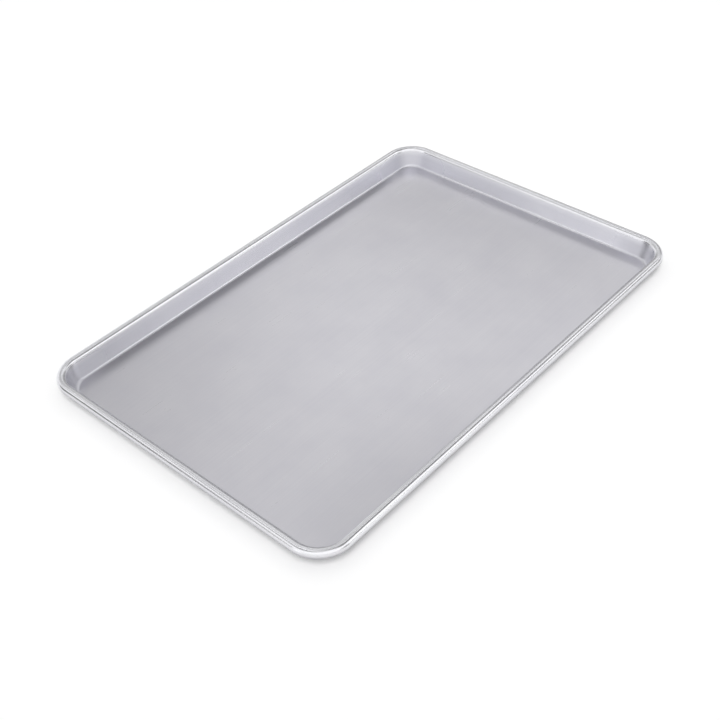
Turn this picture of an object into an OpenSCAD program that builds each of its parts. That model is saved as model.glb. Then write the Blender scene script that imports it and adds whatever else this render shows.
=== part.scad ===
// Jelly roll pan: one sheet of aluminium drawn into a shallow tray, its edge curled round a steel wire.
// Millimetres. X runs along the long side, Z is up, and the origin is under the middle of the floor.

/* [Pan] */
// Length over the rim
pan_length = 600; // [300:5:700]
// Width over the rim
pan_width = 400; // [200:5:500]
// Height from the underside to the top of the rim
pan_height = 25; // [20:0.5:45]
// Corner radius over the rim, seen from above
rim_corner_r = 38; // [34:1:90]

/* [Sheet] */
// Thickness of the aluminium sheet
sheet_t = 1.5; // [0.8:0.1:2]
// Lean of the walls away from upright, in degrees, so that pans nest
wall_draft = 17; // [8:1:24]
// Inside radius where the floor turns up into the wall
floor_fillet = 3; // [1:0.5:6]

/* [Wired rim] */
// Diameter of the steel wire inside the curl
wire_d = 7; // [4:0.5:8]
// Clearance all round between the wire and the curl
wire_clearance = 0.3; // [0.1:0.05:0.6]
// Gap left between the cut edge of the sheet and the back of the wall
curl_gap = 0.8; // [0.4:0.1:1.5]
// Gap between the two ends of the wire, in the middle of a long side
wire_end_gap = 1; // [0.5:0.5:4]

/* [Hidden] */
$fn = 72;
// Radius inside the curl and over it
bore_r = wire_d / 2 + wire_clearance;
bead_r = bore_r + sheet_t;
// The corners of the floor, the wall and the rim all turn about one upright axis
corner_x = pan_length / 2 - rim_corner_r;
corner_y = pan_width / 2 - rim_corner_r;
// The wire's centre line, measured out from a corner axis and up from the underside
wire_out = rim_corner_r - bead_r;
wire_up = pan_height - bead_r;
// Centre of the floor's fillet, placed so that the wall leaves it and meets the curl on one straight line
fillet_up = sheet_t + floor_fillet;
fillet_out = wire_out
    - (bead_r + floor_fillet + (wire_up - fillet_up) * sin(wall_draft)) / cos(wall_draft);
// Straight part of the wall, from the end of the fillet to the start of the curl
wall_run = ((wire_up - fillet_up) + (bead_r + floor_fillet) * sin(wall_draft)) / cos(wall_draft);
half_draft = wall_draft / 2;
// Part of a full turn that the curl leaves open, so that its edge stops clear of the wall
curl_open = acos((bore_r - curl_gap) / bead_r);
// Corners in order round the pan: side of X, side of Y, turn
CORNERS = [[1, 1, 0], [-1, 1, 90], [-1, -1, 180], [1, -1, 270]];

pan_colour = [0.75, 0.75, 0.78];
wire_colour = [0.5, 0.52, 0.54];

// Flat ring between two radii
module ring(inner_r, outer_r) {
    difference() {
        circle(outer_r);
        circle(inner_r);
    }
}

// Floor turned up into the wall: a ring cut where the floor ends, straight down, and where the wall begins
module fillet_section() {
    reach = 2 * fillet_up;
    intersection() {
        rotate(half_draft) ring(floor_fillet, fillet_up);
        rotate(half_draft) translate([0, -reach]) square([reach, 2 * reach]);
        rotate(-half_draft) translate([-reach, -reach]) square([2 * reach, reach]);
    }
}

// Curl over the wire, seen with the wall upright on its left: it starts level with the wire's centre,
// goes over the top and round, and stops short of the back of the wall
module curl_section() {
    reach = 2 * bead_r;
    difference() {
        ring(bore_r, bead_r);
        polygon([
            [0, 0],
            [-reach, 0],
            [-reach, -reach],
            reach * [-cos(curl_open), -sin(curl_open)]
        ]);
    }
}

// The whole sheet cut through one side, from floor_in inside a corner axis outwards.
// It is drawn about the fillet's centre, where the floor and the wall lie alike on the two sides of
// the line that halves the fillet.
module sheet_section(floor_in = 0) {
    floor_run = floor_in + 2 * fillet_out;
    intersection() {
        translate([-floor_in, -sheet_t]) square([floor_in + rim_corner_r + sheet_t, pan_height + 2 * sheet_t]);
        translate([fillet_out, fillet_up]) rotate(-half_draft) {
            rotate(half_draft) translate([-floor_run, -fillet_up]) square([floor_run, sheet_t]);
            fillet_section();
            rotate(-half_draft) {
                translate([floor_fillet, 0]) square([sheet_t, wall_run]);
                translate([floor_fillet + bead_r, wall_run]) curl_section();
            }
        }
    }
}

// The wire cut through one side
module wire_section() {
    translate([wire_out, wire_up]) circle(wire_d / 2);
}

// Carries a section that is drawn out from a corner axis straight along one side
module along_side(length) {
    rotate([90, 0, 0]) linear_extrude(length, center = true) children();
}

// Carries a section straight along both ends of the pan
module along_ends() {
    for (side = [0, 180])
        rotate(side) translate([corner_x, 0, 0]) along_side(2 * corner_y) children();
}

// Carries a section straight along both long sides
module along_sides() {
    for (side = [90, 270])
        rotate(side) translate([corner_y, 0, 0]) along_side(2 * corner_x) children();
}

// Carries a section a quarter turn round each corner axis
module round_corners() {
    for (corner = CORNERS)
        translate([corner.x * corner_x, corner.y * corner_y, 0])
            rotate(corner.z) rotate_extrude(angle = 90) children();
}

// One sheet: flat floor, leaning walls and the rolled edge. The floor between the ends belongs to the
// sections of the two long sides, which meet in the middle.
module pan() {
    color(pan_colour) union() {
        along_sides() sheet_section(corner_y);
        along_ends() sheet_section();
        round_corners() sheet_section();
    }
}

// One wire bent into a hoop inside the rolled edge, its ends meeting in the middle of a long side
module rim_wire() {
    color(wire_colour) difference() {
        union() {
            along_sides() wire_section();
            along_ends() wire_section();
            round_corners() wire_section();
        }
        translate([-wire_end_gap / 2, corner_y + wire_out - wire_d, wire_up - wire_d])
            cube([wire_end_gap, 2 * wire_d, 2 * wire_d]);
    }
}

pan();
rim_wire();
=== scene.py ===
"""Jelly roll pan: one sheet of aluminium with a rolled rim over a steel wire, on a white table.

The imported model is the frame. Both of its pieces are built again here as fine numpy surfaces in the
same place and at the same size, and get the finish that the real metal has. Lengths are in metres.
"""

import logging
from dataclasses import dataclass, field, replace
from enum import Enum

import bmesh
import bpy
import numpy as np
from mathutils import Matrix, Vector


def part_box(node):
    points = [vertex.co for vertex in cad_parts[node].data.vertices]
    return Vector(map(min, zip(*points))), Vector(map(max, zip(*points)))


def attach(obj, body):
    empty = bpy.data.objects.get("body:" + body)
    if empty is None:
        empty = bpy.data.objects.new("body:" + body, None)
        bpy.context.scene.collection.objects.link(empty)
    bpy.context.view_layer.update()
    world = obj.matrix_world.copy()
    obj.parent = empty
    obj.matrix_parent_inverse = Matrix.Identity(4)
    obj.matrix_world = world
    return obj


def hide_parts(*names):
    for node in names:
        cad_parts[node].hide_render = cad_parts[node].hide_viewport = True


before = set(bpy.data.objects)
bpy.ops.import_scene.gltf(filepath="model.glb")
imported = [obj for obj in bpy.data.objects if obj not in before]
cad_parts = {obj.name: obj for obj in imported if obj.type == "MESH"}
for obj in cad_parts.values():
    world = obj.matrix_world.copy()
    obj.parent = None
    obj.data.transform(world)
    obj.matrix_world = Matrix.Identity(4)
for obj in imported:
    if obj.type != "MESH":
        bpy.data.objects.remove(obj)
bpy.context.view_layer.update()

MM = 0.001
MERGE_DISTANCE = 1e-6

# The Mix node has an input called A and one called B for each kind of value, so they are reached by
# number: here the two for plain numbers and the two for colours.
NUMBER_A, NUMBER_B, COLOUR_A, COLOUR_B = 2, 3, 6, 7

log = logging.getLogger("jelly_roll_pan")


class Slot(Enum):
    """The record's material slots."""

    PAN_SHEET = "pan_sheet"
    RIM_WIRE = "rim_wire"


class Node(Enum):
    """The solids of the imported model."""

    PAN = "pan"
    RIM_WIRE = "rim_wire"


class Mark(Enum):
    """What is painted on the sheet: where another finish has taken over from the floor's, with a painted
    highlight on the bead's top and painted shade on its outer flank and the outside.
    """

    DRAWN = "drawn"
    CORNER = "corner"
    # The bead's top: a smoother finish, and a lighter colour that is a painted highlight
    RUBBED_HIGHLIGHT = "rubbed"
    # The bead's outer flank and the outside: a duller finish, and a darker colour that is painted shade
    # under the rim
    OUTSIDE = "outside"


class SeenBy(Enum):
    """Kinds of ray that see the table's own white, as outputs of the Light Path node."""

    CAMERA = "Is Camera Ray"
    GLOSSY = "Is Glossy Ray"
    TRANSMISSION = "Is Transmission Ray"


def linear(hex_colour: str) -> tuple[float, float, float, float]:
    """Turns an sRGB hex colour into the linear RGBA that a shader takes.

    The numbers are the sRGB standard's: a straight line near black and a power of 2.4 above it.

    Args:
        hex_colour: six hex digits, with or without a leading hash.

    Returns:
        Red, green, blue and an alpha of 1.
    """
    digits = hex_colour.lstrip("#")
    srgb = np.array([int(digits[i:i + 2], 16) for i in (0, 2, 4)]) / 255
    low, high = srgb / 12.92, ((srgb + 0.055) / 1.055) ** 2.4
    return (*np.where(srgb <= 0.04045, low, high).tolist(), 1.0)


def add_node(
    tree: bpy.types.NodeTree, kind: str, inputs: dict | None = None, **settings: object
) -> bpy.types.Node:
    """Adds one node to a tree with its settings and links.

    Args:
        tree: the node tree.
        kind: the node's Blender type.
        inputs: socket name or number to a value, or to another node's output that it is linked to.
        **settings: the node's own properties.

    Returns:
        The new node.
    """
    node = tree.nodes.new(kind)
    for name, value in settings.items():
        setattr(node, name, value)
    for socket, value in (inputs or {}).items():
        if isinstance(value, bpy.types.NodeSocket):
            tree.links.new(value, node.inputs[socket])
        else:
            node.inputs[socket].default_value = value
    return node


def smooth_step(x: np.ndarray) -> np.ndarray:
    """Rises from 0 to 1 with level ends as x goes from 0 to 1: three x squared less two x cubed."""
    t = np.clip(x, 0, 1)
    return t * t * (3 - 2 * t)


def sky_direction(azimuth: float, elevation: float) -> Vector:
    """Direction of a place on the sky: (cos e sin a, -cos e cos a, sin e) for azimuth a and elevation e.

    Args:
        azimuth: turn from -Y towards +X, in radians. A camera looking along +Y stands at 0.
        elevation: height over the horizon, in radians.

    Returns:
        A vector of length 1.
    """
    level = np.cos(elevation)
    return Vector((level * np.sin(azimuth), -level * np.cos(azimuth), np.sin(elevation)))


def arc(centre: np.ndarray, radius: float, start: float, end: float, steps: int) -> np.ndarray:
    """Points on an arc: the centre plus the radius times (cosine, sine) of an angle from start to end.

    Args:
        centre: the arc's centre.
        radius: its radius.
        start: first angle, in radians.
        end: last angle, in radians.
        steps: number of equal steps.

    Returns:
        An array of steps + 1 points.
    """
    angle = np.linspace(start, end, steps + 1)
    return centre + radius * np.stack([np.cos(angle), np.sin(angle)], -1)


def run(start: np.ndarray, end: np.ndarray, steps: int, guard: float = 0.4 * MM) -> np.ndarray:
    """Points on a straight line in even steps, with one more point close to each end.

    The close points keep the shading of the arcs that follow from spreading over the flat stretch.

    Args:
        start: first point.
        end: last point.
        steps: number of steps between the close points.
        guard: distance of the close points from the ends.

    Returns:
        An array of steps + 3 points.
    """
    length = np.linalg.norm(end - start)
    share = np.concatenate([[0], np.linspace(guard, length - guard, steps + 1), [length]]) / length
    return start + share[:, None] * (end - start)


@dataclass(frozen=True)
class Surface:
    """A mesh worked out as whole arrays: corner points, four-sided faces, and what is painted on them."""

    points: np.ndarray
    faces: np.ndarray
    uv: np.ndarray
    marks: dict[str, np.ndarray]

    @staticmethod
    def grid(points: np.ndarray, uv: np.ndarray, marks: dict[str, np.ndarray]) -> "Surface":
        """Makes a surface from points that lie on a grid of rows and columns.

        Args:
            points: rows by columns by 3.
            uv: rows by columns by 2.
            marks: name to rows by columns.

        Returns:
            The surface, with one face between each four neighbouring points.
        """
        rows, columns = points.shape[:2]
        index = np.arange(rows * columns).reshape(rows, columns)
        corners = [index[:-1, :-1], index[1:, :-1], index[1:, 1:], index[:-1, 1:]]
        faces = np.stack(corners, -1).reshape(-1, 4)
        flat_marks = {name: values.reshape(-1) for name, values in marks.items()}
        return Surface(points.reshape(-1, 3), faces, uv.reshape(-1, 2)[faces], flat_marks)

    def joined(self, other: "Surface") -> "Surface":
        """Puts another surface with the same marks into this one.

        Args:
            other: the surface to add.

        Returns:
            Both as one surface, whose shared edges are merged when it becomes an object.
        """
        return Surface(
            np.concatenate([self.points, other.points]),
            np.concatenate([self.faces, other.faces + len(self.points)]),
            np.concatenate([self.uv, other.uv]),
            {name: np.concatenate([values, other.marks[name]]) for name, values in self.marks.items()},
        )

    def to_object(self, name: str, uv_name: str) -> bpy.types.Object:
        """Makes a smooth object of the surface, with its seams merged and its faces turned outwards.

        Args:
            name: the object's name.
            uv_name: the name of its UV map.

        Returns:
            The object, at the origin, in the scene.
        """
        mesh = bpy.data.meshes.new(name)
        mesh.from_pydata(self.points, [], self.faces)
        layer = mesh.uv_layers.new(name=uv_name)
        layer.data.foreach_set("uv", self.uv.astype(np.float32).ravel())
        for mark, values in self.marks.items():
            painted = mesh.attributes.new(mark, "FLOAT", "POINT")
            painted.data.foreach_set("value", values.astype(np.float32))
        work = bmesh.new()
        work.from_mesh(mesh)
        bmesh.ops.remove_doubles(work, verts=work.verts, dist=MERGE_DISTANCE)
        bmesh.ops.recalc_face_normals(work, faces=work.faces)
        work.to_mesh(mesh)
        work.free()
        mesh.shade_smooth()
        piece = bpy.data.objects.new(name, mesh)
        bpy.context.scene.collection.objects.link(piece)
        return piece


@dataclass(frozen=True)
class Hoop:
    """The pan's rounded rectangle from above: straight runs between four upright corner axes.

    Everything on the pan is placed by a station on the hoop: a point on the rectangle of the corner
    axes, and the direction that leads straight out from it.
    """

    corner_x: float
    corner_y: float
    long_steps: int = 60
    short_steps: int = 40
    turn_steps: int = 40

    def stations(self) -> tuple[np.ndarray, np.ndarray]:
        """Goes round anticlockwise, from the middle of the +Y side back to it.

        Returns:
            The stations' points, n by 2, and the angles of their outward directions, in radians. The
            last station lies on the first.
        """
        x, y = self.corner_x, self.corner_y
        half = self.long_steps // 2
        legs = [
            ((0, y), (-x, y), half),
            ((-x, y), (-x, -y), self.short_steps),
            ((-x, -y), (x, -y), self.long_steps),
            ((x, -y), (x, y), self.short_steps),
            ((x, y), (0, y), half),
        ]
        centres, angles = [np.array([legs[0][0]], float)], [np.array([np.pi / 2])]
        for quarter, (start, end, steps) in enumerate(legs, 1):
            share = np.linspace(0, 1, steps + 1)[1:, None]
            centres.append(np.array(start) + share * (np.array(end) - np.array(start)))
            angles.append(np.full(steps, quarter * np.pi / 2))
            if quarter < len(legs):
                centres.append(np.tile(np.array(end, float), (self.turn_steps, 1)))
                turn = np.linspace(0, np.pi / 2, self.turn_steps + 1)[1:]
                angles.append(quarter * np.pi / 2 + turn)
        return np.concatenate(centres), np.concatenate(angles)

    def travelled(self, radius: float) -> np.ndarray:
        """Distance gone along the line that runs a radius outside the corner axes.

        Each step adds its straight length and the radius times the angle that it turns through.

        Args:
            radius: the line's distance from the corner axes.

        Returns:
            The distance at each station, from 0 at the first.
        """
        centres, angles = self.stations()
        steps = np.linalg.norm(np.diff(centres, axis=0), axis=1) + radius * np.diff(angles)
        return np.concatenate([[0], np.cumsum(steps)])


def carried(outlines: np.ndarray, centres: np.ndarray, angles: np.ndarray) -> np.ndarray:
    """Carries a section round the hoop.

    A point of the section lies its first value straight out from the station and its second value up:
    station + out * (cosine, sine) of the station's angle, at height up.

    Args:
        outlines: n by m by 2 points, out and up, of the section at each station.
        centres: n by 2 station points.
        angles: n outward angles.

    Returns:
        An n by m by 3 grid of points.
    """
    outward = np.stack([np.cos(angles), np.sin(angles)], -1)
    plan = centres[:, None, :] + outlines[..., :1] * outward[:, None, :]
    return np.concatenate([plan, outlines[..., 1:]], -1)


@dataclass(frozen=True)
class RimSection:
    """One side of the pan cut through, measured out from a corner axis and up from the underside.

    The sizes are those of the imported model. Only the rounding of the cut edge is added here.
    """

    height: float
    rim_radius: float = 38 * MM
    sheet: float = 1.5 * MM
    draft: float = np.radians(17)
    fillet: float = 3 * MM
    wire: float = 7 * MM
    clearance: float = 0.3 * MM
    curl_gap: float = 0.8 * MM
    edge_round: float = 0.3 * MM
    floor_steps: int = 4
    fillet_steps: int = 14
    wall_steps: int = 6
    curl_out_steps: int = 64
    curl_in_steps: int = 48
    edge_steps: int = 4

    @property
    def bore(self) -> float:
        """Radius inside the curl."""
        return self.wire / 2 + self.clearance

    @property
    def bead(self) -> float:
        """Radius over the curl."""
        return self.bore + self.sheet

    @property
    def wire_centre(self) -> np.ndarray:
        """The wire's centre line."""
        return np.array([self.rim_radius - self.bead, self.height - self.bead])

    @property
    def wall_face(self) -> np.ndarray:
        """Direction that the wall's back looks in: outwards and a little down."""
        return np.array([np.cos(self.draft), -np.sin(self.draft)])

    @property
    def fillet_centre(self) -> np.ndarray:
        """Centre of the fillet, placed so that one straight wall is tangent to it and to the curl.

        Returns:
            The centre, out and up: in from the wire by the radii of the bead and the fillet and by the
            wall's lean between them, all over the cosine of the draft.
        """
        up = self.sheet + self.fillet
        wire_out, wire_up = self.wire_centre
        lean = (self.bead + self.fillet + (wire_up - up) * np.sin(self.draft)) / np.cos(self.draft)
        return np.array([wire_out - lean, up])

    @property
    def curl_open(self) -> float:
        """Part of the full turn that the curl leaves open behind the wall."""
        return float(np.arccos((self.bore - self.curl_gap) / self.bead))

    def fillet_arc(self, radius: float) -> np.ndarray:
        """Turn from the floor into the wall, at the fillet's radius inside or with the sheet added."""
        return arc(self.fillet_centre, radius, -np.pi / 2, -self.draft, self.fillet_steps)

    def curl_arc(self, radius: float, trim: float, steps: int) -> np.ndarray:
        """Turn of the curl from the wall over the top, down the outside and back under the wire.

        Args:
            radius: the curl's radius, outside or inside.
            trim: angle left off before the cut edge, for its rounding.
            steps: number of steps.

        Returns:
            The points of the arc.
        """
        start = np.pi - self.draft
        end = self.curl_open - np.pi - self.draft + trim
        return arc(self.wire_centre, radius, start, end, steps)

    def cut_edge(self) -> np.ndarray:
        """Cut edge of the sheet, from the outside of the curl to the bore, with both its corners rounded.

        Returns:
            The points of two quarter turns, each round a centre that lies one rounding inside the
            sheet's faces and its cut.
        """
        angle = self.curl_open - np.pi - self.draft
        outward = np.array([np.cos(angle), np.sin(angle)])
        onward = np.array([outward[1], -outward[0]])
        back = self.wire_centre - self.edge_round * onward
        outer = back + (self.bead - self.edge_round) * outward
        inner = back + (self.bore + self.edge_round) * outward
        turns = np.linspace(0, np.pi / 2, self.edge_steps + 1)[:, None]
        first = outer + self.edge_round * (np.cos(turns) * outward + np.sin(turns) * onward)
        second = inner + self.edge_round * (np.cos(turns) * onward - np.sin(turns) * outward)
        return np.concatenate([first, second])

    def outline(self) -> np.ndarray:
        """The sheet's whole section, from a corner axis over the inside, round the curl and back under.

        Returns:
            The points in order: floor, fillet, wall, outside of the curl, cut edge, inside of the curl,
            back of the wall, outside of the fillet, underside.
        """
        centre, wire = self.fillet_centre, self.wire_centre
        inner_arc = self.fillet_arc(self.fillet)
        outer_arc = self.fillet_arc(self.fillet + self.sheet)[::-1]
        curl_out = self.curl_arc(self.bead, self.edge_round / self.bead, self.curl_out_steps)
        curl_in = self.curl_arc(self.bore, self.edge_round / self.bore, self.curl_in_steps)[::-1]
        floor = run(np.array([0, self.sheet]), np.array([centre[0], self.sheet]), self.floor_steps)
        wall = run(inner_arc[-1], wire - self.bead * self.wall_face, self.wall_steps)
        back = run(wire - self.bore * self.wall_face, outer_arc[0], self.wall_steps)
        under = run(np.array([centre[0], 0]), np.array([0, 0]), self.floor_steps)
        parts = [floor[:-1], inner_arc, wall[1:-1], curl_out, self.cut_edge()[1:-1]]
        parts += [curl_in, back[1:-1], outer_arc, under[1:]]
        return np.concatenate(parts)


@dataclass(frozen=True)
class Streaks:
    """Fine parallel lines left on a metal surface by rolls, dies or use.

    The length and the width are those of one line, and the detail is the number of finer noises on it.
    """

    length: float
    width: float
    turned: float = 0.0
    detail: float = 2.0

    def shade(self, tree: bpy.types.NodeTree, place: bpy.types.NodeSocket) -> bpy.types.NodeSocket:
        """Stretches a noise along the lines.

        Args:
            tree: the material's nodes.
            place: the coordinates, in metres, whose X runs along the lines before they are turned.

        Returns:
            A value around a half that changes quickly across the lines and slowly along them.
        """
        scale = (1 / self.length, 1 / self.width, 1 / self.width)
        turned = {"Vector": place, "Rotation": (0, 0, self.turned)}
        laid = add_node(tree, "ShaderNodeMapping", turned)
        stretched = add_node(tree, "ShaderNodeMapping", {"Vector": laid.outputs[0], "Scale": scale})
        noise = {"Vector": stretched.outputs[0], "Scale": 1.0, "Detail": self.detail}
        return add_node(tree, "ShaderNodeTexNoise", noise).outputs["Fac"]


@dataclass(frozen=True)
class Polish:
    """How a stretch of the sheet reflects: its colour and its roughness."""

    colour: str
    roughness: float


@dataclass(frozen=True)
class RolledAluminium:
    """Natural aluminium, rolled to sheet and drawn, uncoated.

    The eye sees a pale, slightly lilac grey with a satin gloss: soft reflections with no picture in
    them. The floor is as it came from the rolls, with hairlines along it and faint clouds of oxide. The
    die has burnished the walls and left lines along them. In the corners, where it stretched the sheet,
    the grain stands out and the gloss is much softer. The top of the bead is rubbed smoother, and its
    lighter colour is a painted highlight. Its outer flank and the outside are duller, and their darker
    colour is painted shade under the rim.

    The hairlines are really about 0.1 mm wide and the scuffs about 0.2 mm. They are drawn about 1 mm
    and 0.6 mm wide so that they show.
    """

    floor: Polish = Polish("#DCDBE0", 0.28)
    wall: Polish = Polish("#DEDEE3", 0.26)
    corner: Polish = Polish("#DDDDE2", 0.46)
    # The bead's lighter colour is a painted highlight on its top; its lower roughness is the rubbed
    # finish
    bead: Polish = Polish("#E9E9EC", 0.26)
    # The outside's darker colour is painted shade on the bead's outer flank and under the rim; its
    # roughness is a duller finish
    outside: Polish = Polish("#B2B1B5", 0.38)
    # The oxide takes a little light away where its tone is high: the clouds plus half of the hairlines
    oxide: str = "#F6F6F8"
    line_tone: float = 0.5
    tone_from: float = 0.45
    tone_to: float = 1.05
    # What the clouds, the hairlines and the scuffs add to the roughness at most
    cloud_roughness: float = 0.015
    line_roughness: float = 0.02
    scuff_roughness: float = 0.03
    cloud_size: float = 60 * MM
    cloud_detail: float = 3.0
    cloud_grain: float = 0.55
    rolled_lines: Streaks = Streaks(length=140 * MM, width=1.1 * MM, detail=1.0)
    drawn_lines: Streaks = Streaks(length=180 * MM, width=1.3 * MM, detail=1.0)
    scuffs: tuple[Streaks, ...] = (
        Streaks(length=28 * MM, width=0.6 * MM, turned=np.radians(24), detail=0.0),
        Streaks(length=36 * MM, width=0.6 * MM, turned=np.radians(-37), detail=0.0),
        Streaks(length=22 * MM, width=0.6 * MM, turned=np.radians(71), detail=0.0),
    )
    # Height over which a scuff's noise counts as a scratch
    scuff_level: float = 0.7
    line_depth: float = 0.0015 * MM
    uv_name: str = "sheet"

    def scuffed(self, tree: bpy.types.NodeTree, place: bpy.types.NodeSocket) -> bpy.types.NodeSocket:
        """Thin scratches in a few directions: the highest crests of stretched noises.

        Args:
            tree: the material's nodes.
            place: Object coordinates.

        Returns:
            0 off the scratches and up to 1 on them.
        """
        crest = None
        for scuff in self.scuffs:
            limits = {"Value": scuff.shade(tree, place), "From Min": self.scuff_level, "From Max": 1.0}
            line = add_node(tree, "ShaderNodeMapRange", limits).outputs["Result"]
            both = {0: line, 1: crest} if crest else {0: line, 1: 0.0}
            crest = add_node(tree, "ShaderNodeMath", both, operation="MAXIMUM").outputs[0]
        return crest

    def stretches(
        self, tree: bpy.types.NodeTree, marks: dict[Mark, bpy.types.NodeSocket]
    ) -> tuple[bpy.types.NodeSocket, bpy.types.NodeSocket]:
        """Mixes the finish of each stretch of the sheet over that of the floor, one after the other.

        The roughnesses are lowered by what the clouds and the hairlines add to them on average.

        Args:
            tree: the material's nodes.
            marks: how far each finish has taken over, as painted on the sheet.

        Returns:
            The colour and the roughness.
        """
        # The bead's lighter colour is a painted highlight, and the outside's darker colour is painted
        # shade
        worked = {
            Mark.DRAWN: self.wall,
            Mark.CORNER: self.corner,
            Mark.RUBBED_HIGHLIGHT: self.bead,
            Mark.OUTSIDE: self.outside,
        }
        added = (self.cloud_roughness + self.line_roughness) / 2
        colour, rough = linear(self.floor.colour), self.floor.roughness - added
        for mark, polish in worked.items():
            colours = {"Factor": marks[mark], COLOUR_A: colour, COLOUR_B: linear(polish.colour)}
            colour = add_node(tree, "ShaderNodeMix", colours, data_type="RGBA").outputs["Result"]
            roughs = {"Factor": marks[mark], NUMBER_A: rough, NUMBER_B: polish.roughness - added}
            rough = add_node(tree, "ShaderNodeMix", roughs, data_type="FLOAT").outputs[0]
        return colour, rough

    def material(self) -> bpy.types.Material:
        """Builds the material.

        Returns:
            The finished material.
        """
        made = bpy.data.materials.new("rolled_aluminium")
        made.use_nodes = True
        tree = made.node_tree
        shader = tree.nodes["Principled BSDF"]
        place = add_node(tree, "ShaderNodeTexCoord").outputs["Object"]
        strip = add_node(tree, "ShaderNodeUVMap", uv_map=self.uv_name).outputs["UV"]
        marks = {
            mark: add_node(tree, "ShaderNodeAttribute", attribute_name=mark.value).outputs["Fac"]
            for mark in Mark
        }
        colour, rough = self.stretches(tree, marks)
        pair = {
            "Factor": marks[Mark.DRAWN],
            NUMBER_A: self.rolled_lines.shade(tree, place),
            NUMBER_B: self.drawn_lines.shade(tree, strip),
        }
        lines = add_node(tree, "ShaderNodeMix", pair, data_type="FLOAT").outputs[0]
        cloud_inputs = {
            "Vector": place,
            "Scale": 1 / self.cloud_size,
            "Detail": self.cloud_detail,
            "Roughness": self.cloud_grain,
        }
        cloud = add_node(tree, "ShaderNodeTexNoise", cloud_inputs).outputs["Fac"]
        tone_inputs = {0: lines, 1: self.line_tone, 2: cloud}
        tone = add_node(tree, "ShaderNodeMath", tone_inputs, operation="MULTIPLY_ADD").outputs[0]
        spread = {"Value": tone, "From Min": self.tone_from, "From Max": self.tone_to}
        dulled = add_node(tree, "ShaderNodeMapRange", spread).outputs["Result"]
        veil = {"Factor": dulled, COLOUR_A: colour, COLOUR_B: linear(self.oxide)}
        clouded = add_node(tree, "ShaderNodeMix", veil, data_type="RGBA", blend_type="MULTIPLY")
        tree.links.new(clouded.outputs["Result"], shader.inputs["Base Color"])
        added = (
            (cloud, self.cloud_roughness),
            (lines, self.line_roughness),
            (self.scuffed(tree, place), self.scuff_roughness),
        )
        for source, most in added:
            sum_inputs = {0: source, 1: most, 2: rough}
            rough = add_node(tree, "ShaderNodeMath", sum_inputs, operation="MULTIPLY_ADD").outputs[0]
        tree.links.new(rough, shader.inputs["Roughness"])
        bump_inputs = {"Height": lines, "Distance": self.line_depth, "Strength": 1.0}
        bump = add_node(tree, "ShaderNodeBump", bump_inputs)
        tree.links.new(bump.outputs["Normal"], shader.inputs["Normal"])
        shader.inputs["Metallic"].default_value = 1
        return made


@dataclass(frozen=True)
class ZincedWire:
    """Drawn steel wire with a thin zinc coat, as bent and not painted.

    The eye sees a dull blue grey, a little cloudy where the zinc has turned white, with fine lines
    along the wire from the drawing die. The lines are really about 0.05 mm wide, and are drawn ten
    times wider so that they show.
    """

    colour: str = "#9A9FA3"
    white_rust: str = "#B4B8BA"
    rust_from: float = 0.4
    rust_to: float = 0.7
    roughness: float = 0.38
    line_roughness: float = 0.12
    cloud_size: float = 9 * MM
    cloud_detail: float = 4.0
    drawn_lines: Streaks = Streaks(length=70 * MM, width=0.5 * MM)
    line_depth: float = 0.02 * MM
    uv_name: str = "wire"

    def material(self) -> bpy.types.Material:
        """Builds the material.

        Returns:
            The finished material.
        """
        made = bpy.data.materials.new("zinced_steel_wire")
        made.use_nodes = True
        tree = made.node_tree
        shader = tree.nodes["Principled BSDF"]
        place = add_node(tree, "ShaderNodeTexCoord").outputs["Object"]
        strip = add_node(tree, "ShaderNodeUVMap", uv_map=self.uv_name).outputs["UV"]
        lines = self.drawn_lines.shade(tree, strip)
        cloud_inputs = {"Vector": place, "Scale": 1 / self.cloud_size, "Detail": self.cloud_detail}
        cloud = add_node(tree, "ShaderNodeTexNoise", cloud_inputs).outputs["Fac"]
        spread = {"Value": cloud, "From Min": self.rust_from, "From Max": self.rust_to}
        whitened = add_node(tree, "ShaderNodeMapRange", spread).outputs["Result"]
        colours = {"Factor": whitened, COLOUR_A: linear(self.colour), COLOUR_B: linear(self.white_rust)}
        colour = add_node(tree, "ShaderNodeMix", colours, data_type="RGBA").outputs["Result"]
        tree.links.new(colour, shader.inputs["Base Color"])
        rough_inputs = {0: lines, 1: self.line_roughness, 2: self.roughness - self.line_roughness / 2}
        rough = add_node(tree, "ShaderNodeMath", rough_inputs, operation="MULTIPLY_ADD")
        tree.links.new(rough.outputs[0], shader.inputs["Roughness"])
        bump_inputs = {"Height": lines, "Distance": self.line_depth, "Strength": 1.0}
        bump = add_node(tree, "ShaderNodeBump", bump_inputs)
        tree.links.new(bump.outputs["Normal"], shader.inputs["Normal"])
        shader.inputs["Metallic"].default_value = 1
        return made


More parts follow.
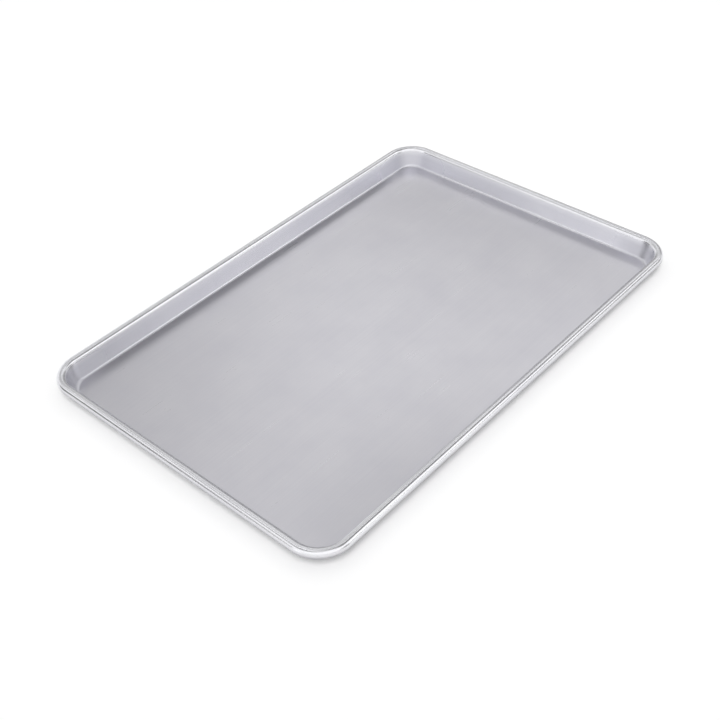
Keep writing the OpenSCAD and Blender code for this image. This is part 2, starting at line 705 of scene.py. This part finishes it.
@dataclass
class SheetPan:
    """The pan's sheet: flat floor, leaning walls and the rolled edge, as one closed skin."""

    section: RimSection
    hoop: Hoop
    corner_fillet: float = 5.5 * MM
    # Distance along the straight wall over which the corner's softer gloss fades out
    matte_reach: float = 40 * MM
    # How far off the bead the rubbed finish and its painted highlight fade out, in radii of the bead
    rubbed_highlight_reach: float = 0.35
    # Height over the wire at which the bead's outer flank starts to go dull and to darken with painted
    # shade, and the drop that makes it fully so, in radii of the bead
    dull_shade_from: float = 0.5
    dull_shade_over: float = 0.9
    finish: RolledAluminium = field(default_factory=RolledAluminium)

    def sides(self) -> Surface:
        """Carries the sheet's section round the hoop, with a wider fillet in the corners.

        The share of the corner's section at a station is the square of the sine of twice its angle, so
        that it is 0 on the straight sides and 1 in the middle of each corner. The marks are smooth
        steps: drawn of the way out over the fillet, corner of the distance from a corner axis, rubbed
        of the distance from the wire, and outside of the height over the wire, past the top of the bead.
        Rubbed carries the bead's painted highlight, and outside carries the painted shade under the rim.

        Returns:
            The sheet without the floor between the corner axes.
        """
        outline = self.section.outline()
        corner_outline = replace(self.section, fillet=self.corner_fillet).outline()
        centres, angles = self.hoop.stations()
        corner_share = np.sin(2 * angles)[:, None, None] ** 2
        points = carried(outline + corner_share * (corner_outline - outline), centres, angles)
        along = self.hoop.travelled(self.section.wire_centre[0])
        across = np.concatenate([[0], np.cumsum(np.linalg.norm(np.diff(outline, axis=0), axis=1))])
        uv = np.stack(np.broadcast_arrays(along[:, None], across[None, :]), -1)
        drawn = smooth_step((outline[:, 0] - self.section.fillet_centre[0]) / self.section.fillet)
        off_wire = np.linalg.norm(outline - self.section.wire_centre, axis=1) / self.section.bead
        # The rubbed mark also carries the lighter colour of the bead's top: a painted highlight
        rubbed = smooth_step((1 + self.rubbed_highlight_reach - off_wire) / self.rubbed_highlight_reach)
        # The outside mark darkens the bead's outer flank: painted shade under the rim, with a duller
        # finish
        past_top = np.arange(len(outline)) > np.argmax(outline[:, 1])
        over_wire = (outline[:, 1] - self.section.wire_centre[1]) / self.section.bead
        outside = past_top * smooth_step((self.dull_shade_from - over_wire) / self.dull_shade_over)
        off_corner = np.linalg.norm(np.abs(centres) - (self.hoop.corner_x, self.hoop.corner_y), axis=1)
        corner = smooth_step(1 - off_corner[:, None] / self.matte_reach) * drawn
        marks = {Mark.DRAWN: drawn, Mark.CORNER: corner, Mark.RUBBED_HIGHLIGHT: rubbed, Mark.OUTSIDE: outside}
        painted = {mark.value: np.broadcast_to(share, points.shape[:2]) for mark, share in marks.items()}
        return Surface.grid(points, uv, painted)

    def floor_plate(self, up: float) -> Surface:
        """One flat face of the floor, on an even grid between the corner axes.

        Args:
            up: its height, which is 0 for the outside.

        Returns:
            The face.
        """
        x = np.linspace(-self.hoop.corner_x, self.hoop.corner_x, self.hoop.long_steps + 1)
        y = np.linspace(-self.hoop.corner_y, self.hoop.corner_y, self.hoop.short_steps + 1)
        plan = np.stack(np.meshgrid(x, y, indexing="ij"), -1)
        points = np.concatenate([plan, np.full((*plan.shape[:2], 1), up)], -1)
        bare = np.zeros(plan.shape[:2])
        painted = {mark.value: bare for mark in Mark}
        # The underside takes the outside's darker colour: painted shade
        painted[Mark.OUTSIDE.value] = bare + (up == 0)
        return Surface.grid(points, plan, painted)

    def build(self) -> bpy.types.Object:
        """Makes the piece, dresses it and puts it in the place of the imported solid.

        Returns:
            The finished object.
        """
        skin = self.sides().joined(self.floor_plate(self.section.sheet)).joined(self.floor_plate(0))
        piece = skin.to_object("pan_sheet", self.finish.uv_name)
        piece.data.materials.append(self.finish.material())
        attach(piece, "root")
        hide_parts(Node.PAN.value)
        return piece


@dataclass
class RimWire:
    """The steel wire inside the rolled edge: one hoop whose ends butt in the middle of the +Y side."""

    section: RimSection
    hoop: Hoop
    end_gap: float = 1 * MM
    end_chamfer: float = 0.5 * MM
    round_steps: int = 28
    finish: ZincedWire = field(default_factory=ZincedWire)

    def tube(self) -> Surface:
        """Carries a circle round the hoop, narrowed over the chamfer at both ends and shut with a point.

        Returns:
            The wire's closed surface.
        """
        centres, angles = self.hoop.stations()
        along = self.hoop.travelled(self.section.wire_centre[0])
        radius = self.section.wire / 2
        middle, last = centres[0], len(centres) - 1
        inset = np.array([0, 0, self.end_chamfer]) + self.end_gap / 2
        end_radius = np.array([0, radius - self.end_chamfer, radius])
        keep, rings = slice(1, last), len(inset)
        step_back = np.stack([inset, np.zeros(rings)], -1)
        centres = np.concatenate([middle - step_back, centres[keep], (middle + step_back)[::-1]])
        angles = np.concatenate([np.full(rings, angles[0]), angles[keep], np.full(rings, angles[last])])
        along = np.concatenate([inset, along[keep], along[last] - inset[::-1]])
        radii = np.concatenate([end_radius, np.full(last - 1, radius), end_radius[::-1]])
        turn = np.linspace(0, 2 * np.pi, self.round_steps + 1)
        circle = np.stack([np.cos(turn), np.sin(turn)], -1)
        outlines = self.section.wire_centre + radii[:, None, None] * circle
        uv = np.stack(np.broadcast_arrays(along[:, None], turn[None, :] * radius), -1)
        return Surface.grid(carried(outlines, centres, angles), uv, {})

    def build(self) -> bpy.types.Object:
        """Makes the piece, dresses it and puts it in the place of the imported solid.

        Returns:
            The finished object.
        """
        piece = self.tube().to_object("rim_wire_hoop", self.finish.uv_name)
        piece.data.materials.append(self.finish.material())
        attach(piece, "root")
        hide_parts(Node.RIM_WIRE.value)
        return piece


@dataclass(frozen=True)
class PhotoCamera:
    """The photograph's point of view, found by fitting a camera to the rim and the floor line.

    Azimuth 0 looks along +Y. The target is on the inner floor. Lens and sensor are in millimetres.
    """

    azimuth: float = np.radians(-46.476)
    elevation: float = np.radians(41.148)
    roll: float = np.radians(-3.306)
    distance: float = 1207.74 * MM
    target: tuple[float, float, float] = (-56.10 * MM, -27.77 * MM, 1.5 * MM)
    lens: float = 56.46
    sensor: float = 36.0

    def build(self) -> bpy.types.Object:
        """Makes the camera and gives it to the scene.

        Returns:
            The camera object.
        """
        back = sky_direction(self.azimuth, self.elevation)
        data = bpy.data.cameras.new("photo_camera")
        data.lens, data.sensor_width = self.lens, self.sensor
        camera = bpy.data.objects.new("photo_camera", data)
        turn = (-back).to_track_quat("-Z", "Y").to_matrix().to_4x4()
        place = Matrix.Translation(Vector(self.target) + back * self.distance)
        camera.matrix_world = place @ turn @ Matrix.Rotation(self.roll, 4, "Z")
        bpy.context.scene.collection.objects.link(camera)
        bpy.context.scene.camera = camera
        return camera


@dataclass(frozen=True)
class WhiteTable:
    """A sheet of white melamine board under the pan, plain white to the camera and in the metal."""

    colour: str = "#F0F0F0"
    # White that is added to what the lamps give, so that the open table comes out plain white
    glow: float = 0.05
    # Half the table's side, so wide that its edge lies close to the horizon
    reach: float = 12.0
    # Half the length and width of the opening under the pan's floor, through which its underside shows
    hole: tuple[float, float] = (275 * MM, 175 * MM)

    def material(self) -> bpy.types.Material:
        """Builds the table's material: it takes the pan's shadow, and a little white is added to it.

        It is clear from below, so that the underside of the pan can be looked at.

        Returns:
            The finished material.
        """
        made = bpy.data.materials.new("white_board")
        made.use_nodes = True
        tree = made.node_tree
        tree.nodes.clear()
        path = add_node(tree, "ShaderNodeLightPath")
        seen = path.outputs[SeenBy.CAMERA.value]
        for ray in (SeenBy.GLOSSY, SeenBy.TRANSMISSION):
            either = {0: seen, 1: path.outputs[ray.value]}
            seen = add_node(tree, "ShaderNodeMath", either, operation="MAXIMUM").outputs[0]
        strength = add_node(tree, "ShaderNodeMath", {0: seen, 1: self.glow}, operation="MULTIPLY")
        white = add_node(tree, "ShaderNodeEmission", {"Strength": strength.outputs[0]})
        board = add_node(tree, "ShaderNodeBsdfDiffuse", {"Color": linear(self.colour)})
        both = add_node(tree, "ShaderNodeAddShader", {0: board.outputs[0], 1: white.outputs[0]})
        from_below = add_node(tree, "ShaderNodeNewGeometry").outputs["Backfacing"]
        clear = add_node(tree, "ShaderNodeBsdfTransparent")
        sides = {0: from_below, 1: both.outputs[0], 2: clear.outputs[0]}
        top_only = add_node(tree, "ShaderNodeMixShader", sides)
        add_node(tree, "ShaderNodeOutputMaterial", {"Surface": top_only.outputs[0]})
        return made

    def build(self) -> bpy.types.Object:
        """Makes the table's surface, left open where the pan's floor covers it.

        The surface is a grid of three by three faces whose middle one is taken out.

        Returns:
            The stage object.
        """
        x, y = (np.array([-self.reach, -half, half, self.reach]) for half in self.hole)
        plan = np.stack(np.meshgrid(x, y, indexing="ij"), -1)
        whole = Surface.grid(np.concatenate([plan, np.zeros((*plan.shape[:2], 1))], -1), plan, {})
        middle = len(whole.faces) // 2
        board = replace(whole, faces=np.delete(whole.faces, middle, 0), uv=np.delete(whole.uv, middle, 0))
        table = board.to_object("table", "table")
        table.data.materials.append(self.material())
        return table


@dataclass(frozen=True)
class SoftBox:
    """A soft-edged ellipse on the studio's sky: a lit soft box, or a dark flag for a negative strength.

    Azimuth and elevation are in degrees. Half the width and half the height are in units of the
    distance, so that 0.5 reaches 30 degrees to each side. The edge is the soft share of that way.
    """

    azimuth: float
    elevation: float
    half_width: float
    half_height: float
    edge: float
    strength: float

    def shade(self, tree: bpy.types.NodeTree, direction: bpy.types.NodeSocket) -> bpy.types.NodeSocket:
        """Brightness of the box in each direction.

        The direction is measured from the box's middle along the box's own axes, each divided by the
        box's half size there. Its length is then 1 on the rim of the ellipse, and the brightness rises
        inwards from there over the edge's share of the way.

        Args:
            tree: the world's nodes.
            direction: the direction looked in.

        Returns:
            0 outside the box and the strength inside it.
        """
        azimuth, elevation = np.radians((self.azimuth, self.elevation))
        frame_inputs = {
            "Vector": direction,
            "Location": sky_direction(azimuth, elevation),
            "Rotation": (-elevation, 0, azimuth),
            "Scale": (self.half_width, 1, self.half_height),
        }
        laid = add_node(tree, "ShaderNodeMapping", frame_inputs, vector_type="TEXTURE")
        reach = add_node(tree, "ShaderNodeVectorMath", {0: laid.outputs[0]}, operation="LENGTH")
        fall = {
            "Value": reach.outputs["Value"],
            "From Min": 1 - self.edge,
            "From Max": 1,
            "To Min": self.strength,
            "To Max": 0,
        }
        bright = add_node(tree, "ShaderNodeMapRange", fall, interpolation_type="SMOOTHSTEP")
        return bright.outputs["Result"]


@dataclass(frozen=True)
class Lamp:
    """A far soft lamp over the table, which the metal doesn't mirror, because it mirrors the tent.

    Azimuth, elevation and the spread, which is the angle that the lamp fills, are in degrees. The level
    is what the lamp adds to the brightness of a level white surface.
    """

    name: str
    azimuth: float
    elevation: float
    spread: float
    level: float

    def build(self) -> bpy.types.Object:
        """Makes the lamp: its strength is pi times the level over the sine of the elevation.

        Returns:
            The lamp object.
        """
        azimuth, elevation = np.radians((self.azimuth, self.elevation))
        towards = sky_direction(azimuth, elevation)
        data = bpy.data.lights.new(self.name, "SUN")
        data.angle = np.radians(self.spread)
        data.energy = np.pi * self.level / np.sin(elevation)
        lamp = bpy.data.objects.new(self.name, data)
        lamp.matrix_world = towards.to_track_quat("Z", "Y").to_matrix().to_4x4()
        lamp.visible_glossy = False
        bpy.context.scene.collection.objects.link(lamp)
        return lamp


@dataclass(frozen=True)
class Studio:
    """A white tent with soft boxes and flags round the pan, and two lamps.

    The metal mirrors the tent, and the lamps light the table and all that is matt. Where the boxes
    stand was worked out from the reflections in the photograph and then rounded. Near and far are as
    the camera sees the pan.
    """

    tent_wall: float = 1.0
    tent_top: float = 1.35
    # Each has its name, azimuth, elevation, spread and level
    lamps: tuple[Lamp, ...] = (
        Lamp("key_lamp", 313, 56, 30, 0.64),
        Lamp("dome_lamp", 313, 88, 120, 0.46),
    )
    # Limits of the sky's brightness where boxes or flags lie over one another
    darkest: float = 0.05
    brightest: float = 1.5
    # Heights of a direction between which the boxes come in over the edge of the table
    horizon: tuple[float, float] = (0.02, 0.1)
    # Each has its azimuth, elevation, half width, half height, edge and strength
    boxes: tuple[SoftBox, ...] = (
        # Light above the foot of the far short wall and along the near short bead
        SoftBox(276, 88, 1.05, 0.15, 0.4, 1.2),
        # Light along the far long wall and both long beads
        SoftBox(32, 38, 0.6, 0.35, 0.4, 1.2),
        # Dark foot of the far long wall, and a dark line on both long beads
        SoftBox(68, 54, 0.35, 0.4, 0.4, -1.2),
        # Far half of the floor darker
        SoftBox(114, 16, 0.75, 0.45, 0.4, -0.7),
        # Far short wall darker towards its right corner
        SoftBox(224, 6, 0.4, 0.4, 0.4, -1.2),
        # Far short wall a little lighter all along
        SoftBox(252, 6, 0.25, 0.3, 0.5, 1.2),
        # Far long wall darker towards the left
        SoftBox(16, 48, 0.3, 0.9, 0.4, -1.2),
        # Left half of the far long wall lighter, and a light line on the near long bead
        SoftBox(34, 2, 0.25, 0.3, 0.4, 1.2),
        # Dark foot of the far short wall, and a dark line on both short beads
        SoftBox(218, 76, 0.5, 0.6, 0.4, -1.0),
        # Far long wall and the left corner a little darker
        SoftBox(52, 16, 0.4, 0.2, 0.4, -1.2),
        # Floor darker towards the left
        SoftBox(174, 42, 0.55, 0.35, 0.4, -0.7),
        # Floor darker towards the near corner
        SoftBox(126, 54, 0.2, 0.2, 0.5, -1.0),
    )

    def build(self) -> None:
        """Lights the scene and sets how it is shown.

        The sky rises from the tent's wall to its top, and each box adds its strength to it. The camera
        sees plain white instead, and matt surfaces don't see the sky at all.
        """
        world = bpy.data.worlds.new("studio")
        world.use_nodes = True
        tree = world.node_tree
        direction = add_node(tree, "ShaderNodeTexCoord").outputs["Generated"]
        height = add_node(tree, "ShaderNodeSeparateXYZ", {"Vector": direction}).outputs["Z"]
        rise = {"Value": height, "To Min": self.tent_wall, "To Max": self.tent_top}
        tent = add_node(tree, "ShaderNodeMapRange", rise, interpolation_type="SMOOTHSTEP")
        clear = {"Value": height, "From Min": self.horizon[0], "From Max": self.horizon[1]}
        over_table = add_node(tree, "ShaderNodeMapRange", clear, interpolation_type="SMOOTHSTEP")
        light, share = tent.outputs["Result"], over_table.outputs["Result"]
        for box in self.boxes:
            both = {0: box.shade(tree, direction), 1: share, 2: light}
            light = add_node(tree, "ShaderNodeMath", both, operation="MULTIPLY_ADD").outputs[0]
        limits = {"Value": light, "Min": self.darkest, "Max": self.brightest}
        kept = add_node(tree, "ShaderNodeClamp", limits).outputs[0]
        camera_ray = add_node(tree, "ShaderNodeLightPath").outputs[SeenBy.CAMERA.value]
        shown = {"Factor": camera_ray, NUMBER_A: kept, NUMBER_B: 1.0}
        strength = add_node(tree, "ShaderNodeMix", shown, data_type="FLOAT").outputs[0]
        tree.links.new(strength, tree.nodes["Background"].inputs["Strength"])
        tree.nodes["Background"].inputs["Color"].default_value = (1, 1, 1, 1)
        bpy.context.scene.world = world
        # Only a world that is in the scene takes this setting
        world.cycles_visibility.diffuse = False
        for lamp in self.lamps:
            lamp.build()
        bpy.context.scene.view_settings.view_transform = "Standard"


def report(piece: bpy.types.Object) -> None:
    """Logs a piece's name, faces and size."""
    size = ", ".join(f"{side / MM:.1f}" for side in piece.dimensions)
    log.info("%s: %d faces, %s mm", piece.name, len(piece.data.polygons), size)


def main() -> None:
    """Builds the camera, the pan, the wire and the studio in order."""
    logging.basicConfig(level=logging.INFO, format="%(message)s")
    PhotoCamera().build()
    _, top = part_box(Node.PAN.value)
    section = RimSection(height=top.z)
    hoop = Hoop(top.x - section.rim_radius, top.y - section.rim_radius)
    for part in (SheetPan(section, hoop), RimWire(section, hoop)):
        report(part.build())
    WhiteTable().build()
    Studio().build()


if __name__ == "__main__":
    main()
